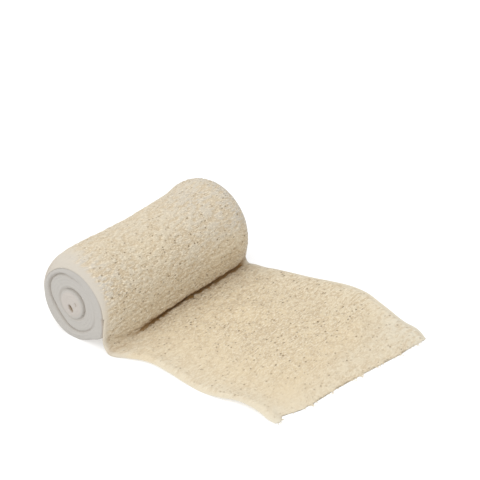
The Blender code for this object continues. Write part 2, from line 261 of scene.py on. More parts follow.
# Where things ease in, as (start, over): none at the start, all at start + over. A negative over eases out.
EASES = {
    # By distance inside the nearer selvedge.
    "crinkled": (0.5, 1.9),
    "edge_thin": (2.2, -2.2),
    # By distance down the loose end, or out from the foot of the fold.
    "waves_begin": (0.0, 4.0),
    "laid": (0.0, 20.0),
    "drift_settles": (8.0, 15.0),
    # Where the near corner's painted shade lies.
    "corner_begins": (19.0, 5.0),
    "corner_ends": (35.0, -9.0),
    "calm_cut_end": (66.0, 14.0),
    "pale_cut_end": (74.0, 14.0),
    "folds_begin": (0.0, 4.8),
    "thin_begins": (0.0, 6.0),
    # By distance back over the roll from where the last turn leaves it.
    "calm_roll": (0.0, 4.0),
    "pale_roll": (0.0, 8.0),
    "pale_top": (0.0, 12.0),
    "calm_top": (8.0, 12.0),
    "over_top": (19.0, 10.0),
    # By distance across the cloth.
    "behind_near_end": (4.0, -4.0),
    "crease_narrows": (5.0, 7.0),
    "crease_grows": (8.0, 21.0),
    "near_shoulder": (11.0, -9.0),
    "corner_width": (12.0, -8.0),
    "crinkle_returns": (12.0, 20.0),
    # Where the painted shade towards the roll's far end grows.
    "far_shade_grows": (35.0, 30.0),
    "calm_far_side": (45.0, 15.0),
    "crease_fades": (69.0, 5.0),
    # By angle round the roll in degrees, and for the waves in radians.
    "near_rim_step": (35.0, -35.0),
    "near_rim_front": (165.0, -45.0),
    "near_rim_thins": (270.0, 80.0),
    "near_rim_shade": (150.0, -40.0),
    "far_rim_step": (60.0, -60.0),
    "far_rim_thins": (200.0, 155.0),
    "behind": (110.0, 60.0),
    "waves_past_step": (0.0, 0.25),
    # By radius on a wound face, or by distance past the groove or the bundle's edge.
    "turns_show": (1.0, 2.0),
    "rim_shade": (13.4, 1.2),
    "far_core": (5.3, -0.6),
    "band_proud": (0.0, 1.2),
    "bundle": (0.0, -0.8),
    # By share of the way out over a wound face.
    "face_reaches": (0.8, 0.2),
    "face_levels": (0.93, 0.07),
}

# How finely the surfaces are divided, with a close first pair where the last turn leaves.
ACROSS_STEPS = 184
UNDERSIDE_STRIDE = 4
ROUND_STEPS = 330
FIRST_ANGLES = (0.0, 0.04, 1.3)
FACE_STEPS = 54
FAR_FACE_STEPS = 26
EDGE_STEPS = 4
HANGING_ROWS = 64
FIRST_ROWS = (0.0, 0.01, 0.3)
FLOOR_ROWS = 230

# Frayed threads along the cut end. Their roots lie under the cloth, and a heading is in radians.
THREADS = 60
THREAD_SEED = 71
THREAD_LENGTH = (0.5, 1.5)
THREAD_RADIUS = 0.12
THREAD_TAPER = 0.4
THREAD_HEADING = 0.55
THREAD_ROOT = -0.4
THREAD_LIFT = 0.02
THREAD_RINGS = 7
THREAD_SIDES = 6

# The cloth's material: a range runs from none of a thing to all of it, and a share is the most of it.
CLOTH = "woven_crepe"
RANGES = {
    "drift": (0.3, 0.7),
    "warm_down": (12.0, 32.0),
    # Slow, so that the near corner keeps some painted shade.
    "laid_selvedge": (9.0, 32.0),
    # The pits and valleys set painted shade, the ribs a painted highlight, and the crease painted shade in
    # the fold.
    "pit": (0.08, 0.34),
    "pit_luck": (0.1, 0.9),
    "pit_on_rib": (0.4, 0.75),
    "valley": (0.3, 0.66),
    "rib": (0.47, 0.62),
    "crease": (-1.2, 0.1),
}
SHARES = {"drift": 0.6, "warm_down": 0.7, "pit_on_rib": 0.4, "valley": 0.85, "rib": 0.9, "pit": 0.95}
PIT_LEAST = 0.15
DRIFT_NOISE = {"Scale": 0.22, "Detail": 2.0, "Roughness": 0.5}
YARN_NOISE = {"Scale": 1.0, "Detail": 3.0, "Roughness": 0.65}
YARN_STRETCH = (0.9, 1.9, 0.0)
PIT_CELLS = {"Scale": 1.0, "Randomness": 0.75}
PIT_STRETCH = (0.66, 0.88, 0.0)
BUMP = {"Strength": 0.7, "Distance": 0.0007}
YARN_HEIGHT_LEAST = 0.25
PIT_HEIGHT = 1.2
SHEEN = {"Sheen Weight": 0.12, "Sheen Roughness": 0.6}
SPECULAR = 0.2

# The stage, in metres.
FLOOR_RADIUS = 8.0
FLOOR_DROP = 0.00002
FLOOR_ROUGHNESS = 0.9
LAMP_AT = (-0.45, 0.05, 0.8)
LAMP_SIZE = 1.2
CAMERA_AT = (-0.36322, -0.30835, 0.29893)
CAMERA_AIM = (0.003947, 0.00249, 0.031709)
CAMERA_SENSOR = 36.0
CAMERA_CLIP = (0.01, 20.0)
WHITE = (1.0, 1.0, 1.0, 1.0)


def origin():
    """The roll's own corner in the frame, from the solids' boxes."""
    roll_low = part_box("wound_roll")[0]
    loose_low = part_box("loose_end")[0]
    last_out = CUT_END[-1][1] + CUT_END_PAST
    return np.array([roll_low.x / MM + NEAR_FACE_PROUD, loose_low.y / MM + last_out, 0.0])


def smooth(t):
    """Ease from 0 to 1: three t squared less two t cubed, held at both ends."""
    t = np.clip(t, 0.0, 1.0)
    return t * t * (3.0 - 2.0 * t)


def eased(name, value):
    """Ease from 0 to 1 over a named range."""
    start, over = EASES[name]
    return smooth((value - start) / over)


def curve(at, table, column):
    """Read a table's column, which its first row names, at places of its first column.

    Cubics join the rows, and a row's slope is the mean of the slopes beside it.
    """
    rows = np.array(table[1:])
    xs, ys = rows[:, 0], rows[:, table[0].index(column)]
    slopes = np.gradient(ys, xs)
    at = np.clip(at, xs[0], xs[-1])
    i = np.clip(np.searchsorted(xs, at, side="right") - 1, 0, len(xs) - 2)
    span = xs[i + 1] - xs[i]
    t = (at - xs[i]) / span
    start = (1 + 2 * t) * (1 - t) ** 2 * ys[i] + t * (1 - t) ** 2 * span * slopes[i]
    end = t * t * (3 - 2 * t) * ys[i + 1] + t * t * (t - 1) * span * slopes[i + 1]
    return start + end


def noise(name, x, y):
    """A layer of smooth noise from 0 to 1: seeded random values at its cells' corners, eased between them."""
    x_cell, y_cell, x_shift, y_shift, seed = NOISE[name]
    values = np.random.default_rng(seed).random((NOISE_SIZE, NOISE_SIZE))
    x, y = x / x_cell + x_shift, y / y_cell + y_shift
    xi, yi = np.floor(x).astype(int), np.floor(y).astype(int)
    tx, ty = smooth(x - xi), smooth(y - yi)
    x0, x1 = xi % NOISE_SIZE, (xi + 1) % NOISE_SIZE
    y0, y1 = yi % NOISE_SIZE, (yi + 1) % NOISE_SIZE
    low = values[x0, y0] * (1 - tx) + values[x1, y0] * tx
    high = values[x0, y1] * (1 - tx) + values[x1, y1] * tx
    return low * (1 - ty) + high * ty


def inside_selvedge(across):
    """Distance inside the nearer selvedge."""
    return np.minimum(across, CLOTH_WIDTH - across)


def crinkle(across, down):
    """The crepe's crinkle, about -0.5 to 0.5: short ribs across the cloth, broken up and wandering.

    Noise whose cells are three times as long across the cloth as down it gives the ribs, a finer one breaks
    them, and their places are first pushed about by a slow noise.
    """
    line = down + CRINKLE["wander"] * (noise("rib_wander", across, down) - 0.5)
    ribs = CRINKLE["ribs"] * noise("ribs", across, line)
    ribs = ribs + CRINKLE["breaks"] * noise("rib_breaks", across, line)
    strength = CRINKLE["least"] + CRINKLE["varies"] * noise("crinkle_strength", across, down)
    return (ribs - 0.5) * strength


def weave_strength(across, down):
    """How strong the crinkle looks, from 0 on the smooth woven selvedges to 1.

    It is calmer on the loose end's near side and by its cut end, over the top of the near shoulder, and a
    little on the roll's far side and top.
    """
    calm = eased("laid", down) * (CALM["near_side"] - CALM["returns"] * eased("crinkle_returns", across))
    calm = calm + CALM["cut_end"] * eased("calm_cut_end", down)
    over_top = CALM["over_top"] * eased("over_top", -down) * eased("near_shoulder", across)
    far_side = eased("calm_far_side", across) * eased("calm_roll", -down)
    far_and_top = CALM["far_and_top"] * np.maximum(eased("calm_top", -down), far_side)
    crinkled = eased("crinkled", inside_selvedge(across))
    return crinkled * (1.0 - calm) * (1.0 - over_top) * (1.0 - far_and_top)


def paleness(across, down):
    """How washed out the colour is, from 0 to 1.

    It is palest along both selvedges, less so round the near corner, which paints shade there, then along the
    cut end and over the roll's near top. Towards the roll's far end it paints shade, greyer and a little
    darker, and it drifts from place to place.
    """
    edge_width = PALE_WIDTHS["edge"] + PALE_WIDTHS["laid_edge_adds"] * eased("laid", down)
    # Less paleness round the near corner paints shade there.
    corner = eased("corner_begins", down) * eased("corner_ends", down) * eased("corner_width", across)
    edge = PALE["edge"] * np.exp(-inside_selvedge(across) / edge_width) * (1.0 - PALE["corner"] * corner)
    top = PALE["top"] * np.exp(-across / PALE_WIDTHS["top"]) * eased("pale_top", -down)
    settled = 1.0 - PALE["settles"] * eased("drift_settles", down)
    drift = PALE["drift"] * noise("colour_drift", across, down) * settled
    # Towards the roll's far end the washed colour is greyer and darker: painted shade.
    roll = eased("pale_roll", -down) * (PALE["roll"] + PALE["far_shade"] * eased("far_shade_grows", across))
    return np.clip(edge + top + drift + roll + PALE_CUT_END * eased("pale_cut_end", down), 0.0, 1.0)


def waves(across, down, weave):
    """Shallow unevenness over some 10 mm, -0.5 to 0.5: two noises, fainter where the crinkle is calm."""
    wide = WAVES["wide"] * noise("wide_waves", across, down)
    narrow = WAVES["narrow"] * noise("narrow_waves", across, down)
    return (WAVES["least"] + WAVES["grows"] * weave) * (wide + narrow - 0.5)


def line_radius(along):
    """Radius of the last turn before its shoulders are rounded."""
    return curve(along, ROLL_SECTIONS, "radius")


def shoulder(along, end, shape):
    """How far a shoulder is drawn in: a quarter ellipse that reaches its depth at the end."""
    share = np.clip(1.0 - abs(along - end) / shape["length"], 0.0, 1.0)
    return shape["depth"] * (1.0 - np.sqrt(1.0 - share**2))


def front_radius(along):
    """Radius at the front, where the last turn leaves: its shoulders are rounded less there."""
    near = shoulder(along, 0.0, NEAR_SHOULDER) * NEAR_SHOULDER["at_front"]
    far = shoulder(along, CLOTH_WIDTH, FAR_SHOULDER) * FAR_SHOULDER["at_front"]
    return line_radius(along) - near - far


def centre_height(along):
    """Height of the roll's centre above the surface."""
    under = TURN_STEP * min(1.0, FLAT_ANGLE / STEP_DONE_AT)
    return line_radius(along) - under - FLAT_DEPTH - shoulder(along, 0.0, NEAR_SHOULDER)


def sag(along, angle):
    """How far the turn under the last one bulges at the near end's lower front."""
    return curve(np.degrees(angle), SAG, "extra") * smooth(1.0 - along / SAG_LENGTH)


def roll_radius(along, angle):
    """Radius of the wound form: a spiral turn with its shoulders drawn in, less so near the front."""
    near = shoulder(along, 0.0, NEAR_SHOULDER)
    far = shoulder(along, CLOTH_WIDTH, FAR_SHOULDER)
    rounding = smooth(angle / math.radians(SHOULDER_FULL_AT))
    turned = np.clip(angle / math.radians(STEP_DONE_AT), 0.0, 1.0)
    radius = front_radius(along) * (1.0 - rounding) + (line_radius(along) - near - far) * rounding
    return radius + sag(along, angle) - TURN_STEP * turned


def across_shares():
    """Places of the columns across the cloth, half its thickness in from both selvedges."""
    inset = HALF_THICK / CLOTH_WIDTH
    return np.linspace(inset, 1.0 - inset, ACROSS_STEPS)


def close_start(first, last, count):
    """Steps up to the last one: a first pair close together, then even steps from the third."""
    return np.concatenate([first[:2], np.linspace(first[2], last, count - 2)])


def slit(out, up, place):
    """1 inside a slit on a face, 0 outside it, eased over its edge: how far inside an ellipse a place is."""
    x = out - place["out"]
    y = up - place["up"]
    turn = math.radians(place["turn"])
    run = (x * math.cos(turn) + y * math.sin(turn)) / place["half_length"]
    side = (y * math.cos(turn) - x * math.sin(turn)) / place["half_width"]
    return smooth(SLIT_EDGE["sharpness"] * (SLIT_EDGE["reach"] - np.hypot(run, side)))


def near_rim(degrees):
    """Width of the near face's rim: thin cloth at the front and top, widest by the step, little behind."""
    front = NEAR_RIM["front"] + NEAR_RIM["at_step"] * eased("near_rim_step", degrees)
    behind = NEAR_RIM["behind"] - NEAR_RIM["thins"] * eased("near_rim_thins", degrees)
    ahead = eased("near_rim_front", degrees)
    return front * ahead + behind * (1.0 - ahead)


def far_rim(degrees):
    """Width of the far face's rim: wide by the step, and almost nothing where the turn comes round."""
    front = FAR_RIM["round"] + FAR_RIM["at_step"] * eased("far_rim_step", degrees)
    thins = eased("far_rim_thins", degrees)
    return front * (1.0 - thins) + FAR_RIM["last"] * thins


def face_radius(share, reach):
    """Radius at a share of the way out over a face: round within, and out to its reach only near the rim."""
    inner = reach.min()
    return share * (inner + (reach - inner) * eased("face_reaches", share))


def wound_turns(radius, angle, way):
    """The turns of a wound face, -1 to 1: the cosine of a spiral with one crest for each pitch."""
    return np.cos(2.0 * math.pi * (radius / TURN_PITCH + way * angle / (2.0 * math.pi)))


def near_face(out, up, angle):
    """How deep the near face lies at a place, how much shade is painted there, and where the bundle's end is.

    Low spiral ridges are its turns. A groove wanders round it, deep on one side, and the band outside that
    stands proud. In the open core a bundle with two slits rests against one side and leaves a crescent.
    """
    degrees = np.degrees(angle)
    radius = np.hypot(out, up)
    beyond = radius - curve(degrees, FACE_GROOVE, "radius")
    strength = curve(degrees, FACE_GROOVE, "strength")
    groove = strength * np.exp(-((beyond / GROOVE_WIDTH) ** 2))
    ridge = NEAR_TURNS["least"] + NEAR_TURNS["varies"] * noise("near_turns", degrees, radius)
    in_hole = CORE_HOLE["radius"] - np.hypot(out - CORE_HOLE["out"], up - CORE_HOLE["up"])
    off_bundle = np.hypot(out - CORE_BUNDLE["out"], up - CORE_BUNDLE["up"]) - CORE_BUNDLE["radius"]
    crescent = smooth(np.minimum(in_hole, off_bundle) / CORE_HOLE["soft"])
    seam = np.exp(-((in_hole / CORE_SEAM["width"]) ** 2))
    long_slit, nick = slit(out, up, CORE_SLIT), slit(out, up, CORE_NICK)
    depth = GROOVE_DEPTH * groove - BAND_RISE * strength * eased("band_proud", beyond)
    depth = depth - ridge * wound_turns(radius, angle, 1.0) * eased("turns_show", radius)
    depth = depth + CORE_HOLE["depth"] * crescent + CORE_SEAM["depth"] * seam
    depth = depth - CORE_BUNDLE["crown"] * smooth(-off_bundle / CORE_BUNDLE["soft"])
    depth = depth + CORE_SLIT["depth"] * long_slit + CORE_NICK["depth"] * nick
    depth = depth + NEAR_BUMPS * (noise("near_bumps", out, up) - 0.5)
    # Painted shade in the hollows and along the front of the rim.
    rim = eased("rim_shade", radius) * eased("near_rim_shade", degrees)
    hollows = dict(groove=groove, crescent=crescent, slit=long_slit, nick=nick, seam=seam, rim=rim)
    dark = np.max([NEAR_PAINTED_SHADE[name] * hollow for name, hollow in hollows.items()], axis=0)
    return depth, dark, eased("bundle", off_bundle)


def far_face(out, up, angle):
    """How deep the far face lies and its painted shade: its turns, with the wound core's end a little sunk.
    """
    radius = np.hypot(out, up)
    turns = wound_turns(radius, angle, -1.0)
    core = eased("far_core", radius)
    depth = FAR_CORE_DEPTH * core - FAR_TURNS * turns * eased("turns_show", radius)
    depth = depth + FAR_BUMPS * (noise("far_bumps", out, up) - 0.5)
    return depth, FAR_PAINTED_SHADE["turns"] * smooth(-turns) + FAR_PAINTED_SHADE["core"] * core


def edge_profile():
    """The edge of the last turn, from the groove behind it over its rounded selvedge to the outside.

    Gives, along the axis and inwards from the outside, a half circle of the cloth's thickness.
    """
    bend = np.linspace(0.0, 1.0, EDGE_STEPS + 1)[:-1, None] * math.pi * RIM_BEND["sweep"]
    bend = bend + math.pi * RIM_BEND["start"]
    return HALF_THICK * (1.0 - np.sin(bend)), HALF_THICK * (1.0 + np.cos(bend))


def wound_roll_surface(relief):
    """The wound roll as one closed skin, profile steps by angles, with its places on the cloth and masks.

    The profile runs from the middle of the near face over its turns and the last turn's selvedge, along the
    outside, and in again to the middle of the far face. Its outside is the spiral turn raised by the crinkle.
    """
    angle = np.radians(close_start(FIRST_ANGLES, LAST_ANGLE, ROUND_STEPS))[None, :]
    degrees, cos, sin = np.degrees(angle), np.cos(angle), np.sin(angle)
    centre_near, centre_far = centre_height(0.0), centre_height(CLOTH_WIDTH)
    near_edge, far_edge = roll_radius(0.0, angle), roll_radius(CLOTH_WIDTH, angle)
    inward, inset = edge_profile()
    parts = []

    def add(along, radius, centre, weave, end, valley):
        """Add profile steps, with their masks for the crinkle, the wound ends and the ribs' height."""
        parts.append(np.broadcast_arrays(along, radius * cos, centre + radius * sin, weave, end, valley))

    share = np.linspace(0.0, 1.0, FACE_STEPS)[:, None]
    radius = face_radius(share, near_edge - near_rim(degrees))
    depth, dark, bundle = near_face(radius * cos, radius * sin, angle)
    depth = depth * (1.0 - NEAR_FACE_LEVELS * eased("face_levels", share))
    # The third mask carries the near face's painted shade.
    add(depth, radius, centre_near, 0.0, 1.0, 1.0 - dark)

    front = eased("near_rim_front", degrees)
    size = near_rim(degrees) / CLOTH_THICK
    along = inward * size - NEAR_RIM["proud"] * front
    add(along, near_edge - inset * size, centre_near, 0.0, NEAR_RIM["grey"] * (1.0 - front), 1.0)

    along = across_shares()[:, None] * CLOTH_WIDTH
    radius = roll_radius(along, angle)
    down = -radius * angle
    weave = weave_strength(along, down)
    cloth = crinkle(along, down)
    uneven = WAVES["roll"] * waves(along, down, weave) * eased("waves_past_step", angle)
    grey = BACK_EDGE_GREY * eased("behind", degrees) * eased("behind_near_end", along)
    add(along, radius + relief * weave * cloth + uneven, centre_height(along), weave, grey, cloth + 0.5)

    size = far_rim(degrees) / CLOTH_THICK
    along = CLOTH_WIDTH - inward[::-1] * np.minimum(size, 1.0)
    add(along, far_edge - inset[::-1] * size, centre_far, 0.0, 0.0, 1.0)

    share = np.linspace(1.0, 0.0, FAR_FACE_STEPS)[:, None]
    radius = face_radius(share, far_edge - far_rim(degrees))
    depth, dark = far_face(radius * cos, radius * sin, angle)
    # The third mask carries the far face's painted shade.
    add(CLOTH_WIDTH - depth, radius, centre_far, 0.0, 1.0, 1.0 - dark)

    along, out, up, weave, end, valley = (np.concatenate(values) for values in zip(*parts))
    points = np.stack([along, -out, np.maximum(up, 0.0)], axis=2)
    row = np.arange(len(points))[:, None]
    on_face = (row < FACE_STEPS) | (row >= len(points) - FAR_FACE_STEPS)
    down = np.where(on_face, up, -np.hypot(out, up - centre_near) * angle)
    across = np.where(on_face, out, np.clip(along, 0.0, CLOTH_WIDTH))
    pale = np.where(on_face, 0.0, paleness(across, down))
    pale[:FACE_STEPS] = bundle
    return points, np.stack([across, down, pale], axis=2), np.stack([weave, end, valley], axis=2)


def fold_lift(along, out):
    """Height of the folds at points of the surface: each a round-topped ridge, its tail cut to lie flat."""
    lift = np.zeros_like(along)
    for row in FOLDS[1:]:
        fold = dict(zip(FOLDS[0], row))
        turn = math.radians(fold["turn"])
        dx = along - fold["along"]
        dy = out - fold["out"]
        run = (dx * math.cos(turn) + dy * math.sin(turn)) / fold["length"]
        side = (dy * math.cos(turn) - dx * math.sin(turn)) / fold["width"]
        lift = np.maximum(lift, fold["height"] * np.exp(-(run**2) - side**2))
    return np.maximum(lift - FOLD_FLOOR, 0.0)


def painted_crease_shade(across, down, tucked, folded):
    """How dark the painted shade in the crease is: full in a band at the fold, with a bell curve and a slower
    fade beside it.
    """
    head = tucked - CREASE_SHADE["margin"]
    narrows = np.maximum(folded - CREASE_SHADE["band"], 0.0) * eased("crease_narrows", across)
    foot = tucked + folded + CREASE_SHADE["margin"] - narrows
    off = np.maximum(np.maximum(head - down, down - foot), 0.0) * (0.5 + noise("crease_rag", across, down))
    crease = np.exp(-((off / CREASE_SHADE["line"]) ** 2)) + CREASE_SHADE["shade"] * np.exp(-off / CREASE_SHADE["shade_width"])
    near = CREASE_SHADE_ENDS["near"] + (1.0 - CREASE_SHADE_ENDS["near"]) * eased("crease_grows", across)
    return crease * near * (1.0 - CREASE_SHADE_ENDS["far_fades"] * eased("crease_fades", across))


def loose_middle():
    """The loose end's middle surface, rows down the cloth by columns across it, with places on the cloth.

    Measured down the cloth, a column hugs the roll to the angle where it leaves it, drops straight, tucks in
    under the roll on a round belly, turns out to the level on a fold and runs on over the surface. Each of
    the five moves goes as far as the length reaches. Also gives the way over the surface, and the crease.
    """
    share = across_shares()[None, :]
    straight = share * CLOTH_WIDTH
    hug = front_radius(straight) - HALF_THICK
    centre = centre_height(straight)
    leave = np.radians(curve(straight, LEAVES_ROLL, "leaves_at"))
    tuck = np.maximum(np.radians(curve(straight, LEAVES_ROLL, "tuck")), leave)
    room = centre - hug * np.sin(leave) - HALF_THICK - BELLY_RADIUS * (np.sin(tuck) - np.sin(leave))
    bend = np.minimum(curve(straight, LEAVES_ROLL, "fold_radius"), room / (1.0 + np.sin(tuck)))
    drop = (room - bend * (1.0 + np.sin(tuck))) / np.cos(leave)
    hugged = hug * leave
    dropped = hugged + drop
    tucked = dropped + BELLY_RADIUS * (tuck - leave)
    folded = bend * (tuck + math.pi / 2)
    hanging = tucked + folded
    belly_end = hug * np.cos(leave) - drop * np.sin(leave) - BELLY_RADIUS * (np.cos(leave) - np.cos(tuck))
    foot = belly_end + bend * np.cos(tuck)
    ragged = CUT_RAG["wander"] * noise("cut_wander", straight, 0.0 * straight)
    ragged = ragged + CUT_RAG["rag"] * noise("cut_rag", straight, 0.0 * straight)
    cut_out = curve(share, CUT_END, "out") + ragged - CUT_RAG["mean"]
    hanging_rows = close_start(FIRST_ROWS, HANGING_ROWS, HANGING_ROWS)[:, None] / HANGING_ROWS
    floor_rows = np.linspace(0.0, 1.0, FLOOR_ROWS + 1)[1:, None]
    down = np.concatenate([hanging_rows * hanging, hanging + floor_rows * (cut_out - foot)])

    hugging = np.clip(down, 0.0, hugged) / hug
    dropping = np.clip(down - hugged, 0.0, drop)
    tucking = leave + np.clip(down - dropped, 0.0, tucked - dropped) / BELLY_RADIUS
    turning = np.clip(down - tucked, 0.0, folded) / bend - tuck
    running = np.maximum(down - hanging, 0.0)
    out = hug * np.cos(hugging) - dropping * np.sin(leave) - BELLY_RADIUS * (np.cos(leave) - np.cos(tucking))
    out = out + bend * (np.cos(tuck) - np.cos(turning)) + running
    up = centre - hug * np.sin(hugging) - dropping * np.cos(leave)
    up = up - BELLY_RADIUS * (np.sin(tucking) - np.sin(leave)) - bend * (np.sin(turning) + np.sin(tuck))

    near = curve(out, LOOSE_EDGES, "near")
    far = curve(out, LOOSE_EDGES, "far")
    spread = near + share * (far - near)
    high = smooth((up - HALF_THICK) / (line_radius(straight) - AXIS_BELOW_RADIUS))
    along = spread + high * (straight - spread)
    lift = fold_lift(along, out) * eased("folds_begin", running)
    middle = np.stack([along, -out, up + lift], axis=2)
    across = straight + 0.0 * down
    place = np.stack([across, down, paleness(across, down)], axis=2)
    # The last value is how strong the painted shade in the crease is.
    return middle, place, running, painted_crease_shade(across, down, tucked, folded)


def round_the_cloth(values):
    """Carry the columns' values round a loop: over the cloth, round its far edge, under, round the near."""
    ones = np.ones((1, EDGE_STEPS - 1, 1))
    far, under, near = values[:, -1:] * ones, values[:, ::-UNDERSIDE_STRIDE], values[:, :1] * ones
    return np.concatenate([values, far, under, near], axis=1)


def loose_end_surface(relief):
    """The loose end as loops round the cloth, one for each row down it, with places and masks.

    A loop runs over the crinkled upper side, round one selvedge, back under the plain underside and round the
    other. Both sides lie half the thickness off the middle surface, along its normal, and the thickness falls
    off towards the cut end and along the selvedges.
    """
    middle, place, running, crease = loose_middle()
    across, down = place[..., 0], place[..., 1]
    sideways = np.gradient(middle, axis=1)
    normal = np.cross(np.gradient(middle, axis=0), sideways)
    normal /= np.linalg.norm(normal, axis=2, keepdims=True)
    sideways /= np.linalg.norm(sideways, axis=2, keepdims=True)
    weave = weave_strength(across, down)
    cloth = crinkle(across, down)
    to_cut = np.clip((running.max(axis=0) - running) / CUT_TAPER["length"], 0.0, 1.0)
    taper = CUT_TAPER["least"] + (1.0 - CUT_TAPER["least"]) * to_cut ** CUT_TAPER["power"]
    thin = eased("edge_thin", inside_selvedge(across) - HALF_THICK) * eased("thin_begins", running)
    half = HALF_THICK * taper * (1.0 - EDGE_THINS * thin)
    middle = middle + normal * (half - HALF_THICK)[..., None]
    uneven = WAVES["laid"] * waves(across, down, weave) * eased("waves_begin", down)
    height = half + (relief * weave * cloth + uneven) * smooth(to_cut)
    upper = middle + normal * height[..., None]
    under = (middle - normal * half[..., None])[:, ::-UNDERSIDE_STRIDE]
    turn = (np.arange(1, EDGE_STEPS) / EDGE_STEPS * math.pi)[None, :, None]
    round_edge = np.cos(turn) * normal[:, -1:] + np.sin(turn) * sideways[:, -1:]
    far = middle[:, -1:] + half[:, -1:, None] * round_edge
    round_edge = np.cos(turn) * normal[:, :1] + np.sin(turn) * sideways[:, :1]
    near = middle[:, :1] - half[:, :1, None] * round_edge
    points = np.concatenate([upper, far, under, near], axis=1)
    points[..., 2] = np.maximum(points[..., 2], 0.0)
    # The third mask is the ribs' height, pushed below zero by the painted shade in the crease.
    masks = np.stack([weave, 0.0 * weave, cloth + 0.5 - CREASE_SHADE_DEPTH * crease], axis=2)
    return points, round_the_cloth(place), round_the_cloth(masks)


def cut_threads_surface():
    """Frayed threads along the cut end: thin tubes, ring after ring, that lie on the surface and curve.

    A thread's centre leaves the cut end along a heading that turns evenly, and its radius tapers.
    """
    middle, place = loose_middle()[:2]
    random = np.random.default_rng(THREAD_SEED)
    column = random.integers(2, ACROSS_STEPS - 2, THREADS)
    heading, bend = random.normal(0.0, THREAD_HEADING, (2, THREADS, 1))
    length = random.uniform(*THREAD_LENGTH, (THREADS, 1))
    share = np.linspace(THREAD_ROOT, 1.0, THREAD_RINGS)[None, :]
    turn = heading + bend * share
    start = middle[-1, column]
    radius = THREAD_RADIUS * (1.0 - THREAD_TAPER * smooth(share)) + 0.0 * turn
    along = start[:, :1] + length * np.sin(turn) * share
    out = start[:, 1:2] - length * np.cos(turn) * share
    centre = np.stack([along, out, radius + THREAD_LIFT], axis=2)[:, :, None, :]
    side = np.stack([np.cos(turn), np.sin(turn), 0.0 * turn], axis=2)[:, :, None, :]
    around = np.linspace(0.0, 2.0 * math.pi, THREAD_SIDES, endpoint=False)[:, None]
    spread = np.cos(around) * side + np.sin(around) * np.array([0.0, 0.0, 1.0])
    points = (centre + radius[:, :, None, None] * spread).reshape(-1, THREAD_SIDES, 3)
    ones = np.ones((1, THREAD_RINGS, THREAD_SIDES, 1))
    places = (place[-1, column][:, None, None, :] * ones).reshape(points.shape)
    masks = np.zeros_like(points)
    masks[..., 2] = 1.0
    return points, places, masks


def ring_quads(rows, columns):
    """Quads of a grid whose columns close into a ring."""
    i, j = np.meshgrid(np.arange(rows - 1), np.arange(columns), indexing="ij")
    k = (j + 1) % columns
    corners = [i * columns + j, (i + 1) * columns + j, (i + 1) * columns + k, i * columns + k]
    return np.stack(corners, axis=2).reshape(-1, 4)


def ring_piece(name, points, place, masks, closed_points, tubes=1):
    """Make a piece from rings of points: a tube's rings are joined by quads, and each of its ends is closed.

    An end whose ring has shrunk to a point is merged there, and any other end gets one flat face. Faces
    that hold a volume below zero are turned round.
    """
    rows, columns = points.shape[:2]
    size = rows // tubes * columns
    starts = np.arange(tubes) * size
    quads = (ring_quads(rows // tubes, columns) + starts[:, None, None]).reshape(-1, 4)
    flat = points.reshape(-1, 3)
    a, b, c, d = (flat[quads[:, corner]] for corner in range(4))
    volume = (a * (np.cross(b, c) + np.cross(c, d))).sum()
    faces = quads.tolist()
    if not closed_points:
        for start in starts.tolist():
            faces.append(list(range(start, start + columns)))
            faces.append(list(range(start + size - 1, start + size - 1 - columns, -1)))
    if volume < 0:
        faces = [face[::-1] for face in faces]
    mesh = bpy.data.meshes.new(name)
    mesh.from_pydata(((flat + origin()) * MM).tolist(), [], faces)
    for label, values in (("cloth_place", place), ("cloth_masks", masks)):
        layer = mesh.attributes.new(label, "FLOAT_VECTOR", "POINT")
        layer.data.foreach_set("vector", values.reshape(-1).astype(np.float32))
    cloth = bpy.data.materials.get(CLOTH) or crepe_cloth(bpy.context.scene.bandage_cloth)
    mesh.materials.append(cloth)
    mesh.shade_smooth()
    piece = bpy.data.objects.new(name, mesh)
    bpy.context.scene.collection.objects.link(piece)
    if closed_points:
        close_poles(mesh)
    return piece


def close_poles(mesh):
    """Merge the points of a ring that has shrunk to nothing."""
    work = bmesh.new()
    work.from_mesh(mesh)
    bmesh.ops.remove_doubles(work, verts=work.verts, dist=1e-6)
    work.to_mesh(mesh)
    work.free()
    mesh.update()


class Wire:
    """A shader socket that takes part in sums: each operator adds one Math node."""

    def __init__(self, shader, socket):
        self.shader = shader
        self.socket = socket

    def maths(self, operation, *values):
        return self.shader.add("Math", {"operation": operation}, dict(enumerate(values)))

    def __add__(self, other):
        return self.maths("ADD", self, other)

    __radd__ = __add__

    def __sub__(self, other):
        return self.maths("SUBTRACT", self, other)

    def __rsub__(self, other):
        return self.maths("SUBTRACT", other, self)

    def __mul__(self, other):
        return self.maths("MULTIPLY", self, other)

    __rmul__ = __mul__


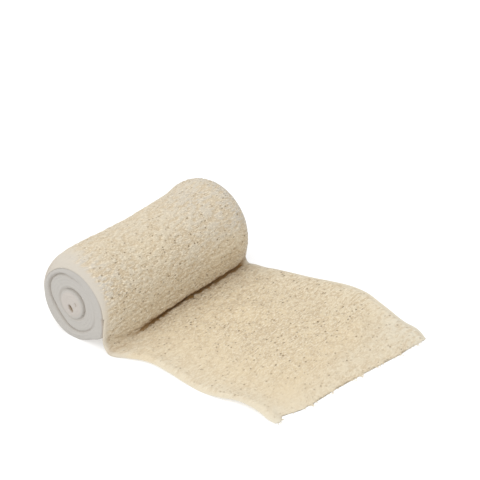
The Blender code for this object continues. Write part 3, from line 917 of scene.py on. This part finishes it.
class Finish:
    """A material whose nodes are added one by one."""

    def __init__(self, name, colour, roughness):
        self.material = bpy.data.materials.new(name)
        self.material.use_nodes = True
        self.material.diffuse_color = (*colour, 1.0)
        self.tree = self.material.node_tree
        self.surface = self.tree.nodes["Principled BSDF"]
        self.hold({"Base Color": (*colour, 1.0), "Roughness": roughness, "Specular IOR Level": SPECULAR})

    def hold(self, values):
        """Set values that are the same all over on the surface shader's own sockets."""
        for socket, value in values.items():
            self.surface.inputs[socket].default_value = value

    def add(self, kind, settings, values, output=0):
        """Add one node of any kind: its settings first, then the values or links of its sockets."""
        node = self.tree.nodes.new("ShaderNode" + kind)
        for key, value in settings.items():
            setattr(node, key, value)
        for key, value in values.items():
            if isinstance(value, Wire):
                self.tree.links.new(value.socket, node.inputs[key])
            else:
                node.inputs[key].default_value = value
        return Wire(self, node.outputs[output])

    def attribute(self, name):
        """Read a vector attribute of the mesh."""
        return self.add("Attribute", {"attribute_name": name}, {}, 1)

    def parts(self, vector):
        """Split a vector into its three parts."""
        first = self.add("SeparateXYZ", {}, {0: vector})
        return [Wire(self, socket) for socket in first.socket.node.outputs]

    def stretch(self, vector, factors):
        """Multiply a vector part by part."""
        return self.add("VectorMath", {"operation": "MULTIPLY"}, {0: vector, 1: factors})

    def ramp(self, value, name):
        """Ease from 0 to 1 over a named range."""
        low, high = RANGES[name]
        sockets = {0: value, 1: low, 2: high, 3: 0.0, 4: 1.0}
        return self.add("MapRange", {"interpolation_type": "SMOOTHSTEP"}, sockets)

    def blend(self, share, first, second):
        """Mix two colours by a share from 0 to 1. A Mix node takes colours at its sockets 6 and 7."""
        colours = [value if isinstance(value, Wire) else (*value, 1.0) for value in (first, second)]
        return self.add("Mix", {"data_type": "RGBA"}, {0: share, 6: colours[0], 7: colours[1]}, 2)

    def feed(self, socket, wire):
        """Link a wire to a socket of the surface shader."""
        self.tree.links.new(wire.socket, self.surface.inputs[socket])


def crepe_cloth(settings):
    """Undyed crepe cotton: pale cream, greyer on the wound ends, with painted shade in its pits and valleys.

    A place's third part is its paleness, and on the near face where the core's bundle is. The masks are the
    crinkle's strength, the wound ends, and the ribs' height, which sets the painted shade in the valleys. It
    falls below zero for the painted shade in the crease, and on the wound faces it carries their painted
    shade. The ribs get a painted highlight with the yarn's grain.
    """
    finish = Finish(CLOTH, tuple(settings.colour), settings.roughness)
    ramp, blend = finish.ramp, finish.blend
    place = finish.attribute("cloth_place")
    down, pale = finish.parts(place)[1:]
    weave, end, valley = finish.parts(finish.attribute("cloth_masks"))

    drift = finish.add("TexNoise", {}, {"Vector": place, **DRIFT_NOISE})
    yarn = finish.add("TexNoise", {}, {"Vector": finish.stretch(place, YARN_STRETCH), **YARN_NOISE})
    pits = finish.add("TexVoronoi", {}, {"Vector": finish.stretch(place, PIT_STRETCH), **PIT_CELLS})
    luck = finish.add("SeparateColor", {}, {0: Wire(finish, pits.socket.node.outputs["Color"])})
    pit_size = PIT_LEAST + (1.0 - PIT_LEAST) * ramp(luck, "pit_luck")
    # Painted shade in the pits between the yarns, which also sink the bump.
    pit = (1.0 - ramp(pits, "pit")) * pit_size * weave
    pit = pit * (1.0 - SHARES["pit_on_rib"] * ramp(valley, "pit_on_rib"))

    warm = ramp(drift, "drift") * SHARES["drift"] + ramp(down, "warm_down") * SHARES["warm_down"]
    base = blend(warm, settings.colour, settings.warm_colour)
    # On the roll the washed colour is greyer and darker, which towards the far end paints shade.
    washed = blend(ramp(down, "laid_selvedge"), settings.selvedge_and_far_shade_colour, settings.laid_selvedge_colour)
    base = blend(pale, base, washed)
    # Painted shade in the crinkle's valleys.
    base = blend((1.0 - ramp(valley, "valley")) * weave * SHARES["valley"], base, settings.valley_shade_colour)
    # A painted highlight on the ribs, with the yarn's grain.
    base = blend(ramp(yarn, "rib") * weave * SHARES["rib"], base, settings.rib_grain_and_highlight_colour)
    # Painted shade in the pits.
    base = blend(pit * SHARES["pit"], base, settings.pit_shade_colour)
    # Painted shade in the crease.
    base = blend(1.0 - ramp(valley, "crease"), base, settings.crease_shade_colour)
    grey = blend(pale, settings.end_colour, settings.bundle_colour)
    # Painted shade in the wound faces' hollows.
    grey = blend(1.0 - valley, grey, settings.pit_shade_colour)
    finish.feed("Base Color", blend(end, base, grey))

    height = yarn * (YARN_HEIGHT_LEAST + (1.0 - YARN_HEIGHT_LEAST) * weave) - pit * PIT_HEIGHT
    finish.feed("Normal", finish.add("Bump", {}, {**BUMP, "Height": height}))
    finish.hold(SHEEN)
    return finish.material


def stage_paint(settings):
    """Matt white that glows a little, so that shadows on it stay faint."""
    finish = Finish("stage_white", tuple(settings.floor_colour), FLOOR_ROUGHNESS)
    finish.hold({"Emission Color": WHITE, "Emission Strength": settings.glow})
    return finish.material


def look_along(way):
    """Turn a lamp or camera to look along a direction: tilted up from straight down, then swung round."""
    level = math.hypot(way[0], way[1])
    return (math.atan2(level, -way[2]), 0.0, math.atan2(-way[0], way[1]))


def stand(kind, data, place, aim):
    """Put a lamp or camera at a place, looking at another."""
    thing = bpy.data.objects.new(kind, data)
    thing.location = place
    thing.rotation_euler = look_along(np.array(aim) - np.array(place))
    bpy.context.scene.collection.objects.link(thing)
    return thing


class BANDAGE_PG_cloth(bpy.types.PropertyGroup):
    """The cloth's relief and colours, with the colours of its painted shade and highlight."""

    relief: FloatProperty(
        name="Relief", description="Height of the crinkle, in metres", default=0.00065, unit="LENGTH", min=0.0
    )
    roughness: FloatProperty(
        name="Roughness", description="Roughness of the cotton", default=0.92, subtype="FACTOR"
    )
    colour: FloatVectorProperty(
        name="Colour", description="Main colour of the cloth", default=(0.655, 0.56, 0.40), subtype="COLOR"
    )
    warm_colour: FloatVectorProperty(
        name="Warm patches", description="Warmer patches", default=(0.675, 0.55, 0.36), subtype="COLOR"
    )
    # Painted shade in the valleys between the ribs.
    valley_shade_colour: FloatVectorProperty(
        name="Valleys", description="Between the ribs", default=(0.54, 0.425, 0.275), subtype="COLOR"
    )
    # Painted highlight on the rib tops, with the yarn's grain.
    rib_grain_and_highlight_colour: FloatVectorProperty(
        name="Ribs", description="Tops of the ribs", default=(0.80, 0.71, 0.55), subtype="COLOR"
    )
    # Painted shade in the pits, and in the hollows of the wound faces.
    pit_shade_colour: FloatVectorProperty(
        name="Pits", description="Small pits between the yarns", default=(0.28, 0.19, 0.10), subtype="COLOR"
    )
    # Also the painted shade towards the roll's far end.
    selvedge_and_far_shade_colour: FloatVectorProperty(
        name="Selvedge", description="The smooth woven edge on the roll",
        default=(0.545, 0.50, 0.43), subtype="COLOR",
    )
    laid_selvedge_colour: FloatVectorProperty(
        name="Laid selvedge", description="The edges of the loose end",
        default=(0.68, 0.625, 0.505), subtype="COLOR",
    )
    # Painted shade deep in the fold.
    crease_shade_colour: FloatVectorProperty(
        name="Crease", description="Deep in the fold", default=(0.265, 0.14, 0.035), subtype="COLOR"
    )
    end_colour: FloatVectorProperty(
        name="Wound ends", description="The edges of the wound turns",
        default=(0.45, 0.428, 0.395), subtype="COLOR",
    )
    bundle_colour: FloatVectorProperty(
        name="Core bundle", description="The end of the bundle in the core",
        default=(0.49, 0.45, 0.41), subtype="COLOR",
    )


class BANDAGE_PG_stage(bpy.types.PropertyGroup):
    """The floor, the light and the camera."""

    floor_colour: FloatVectorProperty(
        name="Floor", description="Colour of the floor", default=(0.55, 0.55, 0.55), subtype="COLOR"
    )
    glow: FloatProperty(name="Glow", description="Light of the floor itself", default=0.5, min=0.0)
    sky: FloatProperty(name="Sky", description="Brightness all round", default=0.82, min=0.0)
    key: FloatProperty(name="Key", description="Power of the soft light above", default=5.5, min=0.0)
    lens: FloatProperty(name="Lens", description="Focal length, in millimetres", default=119.8, min=1.0)
    floor_steps: IntProperty(name="Floor steps", description="Sides of the floor", default=64, min=8)


class BANDAGE_OT_wound_roll(bpy.types.Operator):
    """Build the wound roll: its last turn, its selvedges and both wound faces"""

    bl_idname = "bandage.wound_roll"
    bl_label = "Wound Roll"

    def execute(self, context):
        relief = context.scene.bandage_cloth.relief / MM
        piece = ring_piece("roll_of_crepe", *wound_roll_surface(relief), closed_points=True)
        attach(piece, "root")
        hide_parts("wound_roll")
        return {"FINISHED"}


class BANDAGE_OT_loose_end(bpy.types.Operator):
    """Build the loose end: one sheet of crepe down the roll and out on the surface"""

    bl_idname = "bandage.loose_end"
    bl_label = "Loose End"

    def execute(self, context):
        relief = context.scene.bandage_cloth.relief / MM
        piece = ring_piece("loose_end_of_crepe", *loose_end_surface(relief), closed_points=False)
        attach(piece, "root")
        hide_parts("loose_end")
        return {"FINISHED"}


class BANDAGE_OT_cut_threads(bpy.types.Operator):
    """Build the frayed threads of the cut end"""

    bl_idname = "bandage.cut_threads"
    bl_label = "Cut Threads"

    def execute(self, context):
        piece = ring_piece("cut_end_threads", *cut_threads_surface(), closed_points=False, tubes=THREADS)
        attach(piece, "root")
        return {"FINISHED"}


class BANDAGE_OT_stage(bpy.types.Operator):
    """Lay the floor, set the soft light and the camera"""

    bl_idname = "bandage.stage"
    bl_label = "Stage"

    def execute(self, context):
        settings = context.scene.bandage_stage
        turns = np.linspace(0.0, 2.0 * math.pi, settings.floor_steps, endpoint=False)
        rim = np.stack([np.cos(turns), np.sin(turns), 0.0 * turns], axis=1)
        rim = FLOOR_RADIUS * rim - (0.0, 0.0, FLOOR_DROP)
        mesh = bpy.data.meshes.new("floor")
        mesh.from_pydata(rim.tolist(), [], [list(range(len(rim)))])
        floor = bpy.data.objects.new("floor", mesh)
        floor.data.materials.append(stage_paint(settings))
        context.scene.collection.objects.link(floor)

        world = bpy.data.worlds.new("studio")
        world.use_nodes = True
        background = world.node_tree.nodes["Background"].inputs
        background["Color"].default_value = WHITE
        background["Strength"].default_value = settings.sky
        context.scene.world = world
        light = bpy.data.lights.new("overhead", "AREA")
        light.shape = "DISK"
        light.size = LAMP_SIZE
        light.energy = settings.key
        stand("overhead", light, LAMP_AT, (0.0, 0.0, 0.0))

        camera = bpy.data.cameras.new("camera")
        camera.lens = settings.lens
        camera.sensor_width = CAMERA_SENSOR
        camera.clip_start, camera.clip_end = CAMERA_CLIP
        context.scene.camera = stand("camera", camera, CAMERA_AT, CAMERA_AIM)
        context.scene.view_settings.view_transform = "Standard"
        return {"FINISHED"}


class BANDAGE_PT_panel(bpy.types.Panel):
    """Lists the bandage's pieces and their settings"""

    bl_idname = "BANDAGE_PT_panel"
    bl_label = "Crepe Bandage"
    bl_space_type = "VIEW_3D"
    bl_region_type = "UI"
    bl_category = "Bandage"

    def draw(self, context):
        for group in (context.scene.bandage_cloth, context.scene.bandage_stage):
            box = self.layout.box()
            for name in group.__annotations__:
                box.prop(group, name)
        for operator in OPERATORS:
            self.layout.operator(operator.bl_idname)


GROUPS = {"bandage_cloth": BANDAGE_PG_cloth, "bandage_stage": BANDAGE_PG_stage}
OPERATORS = (BANDAGE_OT_wound_roll, BANDAGE_OT_loose_end, BANDAGE_OT_cut_threads, BANDAGE_OT_stage)


def register():
    for kind in (*GROUPS.values(), *OPERATORS, BANDAGE_PT_panel):
        bpy.utils.register_class(kind)
    for name, group in GROUPS.items():
        setattr(bpy.types.Scene, name, PointerProperty(type=group))


def unregister():
    for name in GROUPS:
        delattr(bpy.types.Scene, name)
    for kind in (BANDAGE_PT_panel, *OPERATORS[::-1], *list(GROUPS.values())[::-1]):
        bpy.utils.unregister_class(kind)


def main():
    register()
    bpy.ops.bandage.wound_roll()
    bpy.ops.bandage.loose_end()
    bpy.ops.bandage.cut_threads()
    bpy.ops.bandage.stage()


if __name__ == "__main__":
    main()
